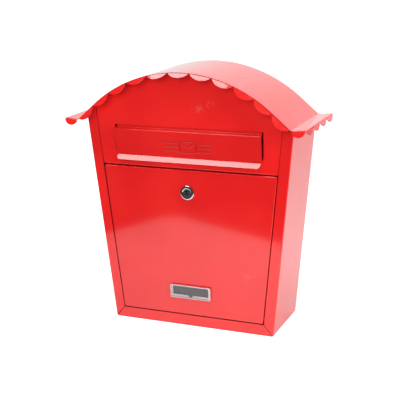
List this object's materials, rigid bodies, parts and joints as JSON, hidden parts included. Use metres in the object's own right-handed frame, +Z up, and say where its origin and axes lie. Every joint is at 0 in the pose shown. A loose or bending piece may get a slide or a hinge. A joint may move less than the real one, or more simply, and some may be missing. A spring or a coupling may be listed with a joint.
{
  "type": "wall mounted post box",
  "caption": "Wall mounted sheet steel post box with an arched scalloped roof, a lift-up letter flap, a drop-down locked front door and a name plate.",
  "frame": {"origin": "centre of the four wall fixing holes, on the back face that lies against the wall", "axes": "+X to the right as seen from the front, +Y into the wall, +Z up"},
  "size_m": [0.3682, 0.1367, 0.3822],
  "materials": {
    "red_paint": "smooth semi-gloss red stove enamel",
    "zinc": "bright zinc plated steel",
    "chrome": "polished chrome plate",
    "lock_plug": "satin nickel plated brass",
    "card": "plain grey card",
    "window": "clear plastic film"
  },
  "bodies": {
    "case": {"body_wrap": "red_paint", "back_panel": "red_paint", "front_panel": "red_paint", "roof": "red_paint", "flap_hinge_rod": "zinc", "rod_clip_right": "zinc", "rod_clip_left": "zinc", "hinge_bracket_right": "red_paint", "hinge_bracket_left": "red_paint"},
    "flap": {"letter_flap": "red_paint"},
    "door": {"door": "red_paint", "door_pivot_right": "red_paint", "door_pivot_left": "red_paint", "lock_housing": "chrome", "lock_washer": "zinc", "lock_nut": "zinc", "nameplate_frame": "chrome", "nameplate_card": "card", "nameplate_window": "window", "nameplate_clips": "zinc"},
    "plug": {"lock_plug": "lock_plug", "lock_cam": "zinc", "cam_washer": "zinc", "cam_screw": "zinc"}
  },
  "joints": [
    {"name": "flap_hinge", "type": "hinge", "parent": "case", "child": "flap", "pos_m": [0, -0.1026, 0.1209], "axis": [-1, 0, 0], "range_deg": [0, 90]},
    {"name": "door_hinge", "type": "hinge", "parent": "case", "child": "door", "pos_m": [0, -0.1026, -0.1457], "axis": [1, 0, 0], "range_deg": [0, 100]},
    {"name": "lock_turn", "type": "hinge", "parent": "door", "child": "plug", "pos_m": [0, -0.1026, 0.037], "axis": [0, 1, 0], "range_deg": [0, 90]}
  ]
}
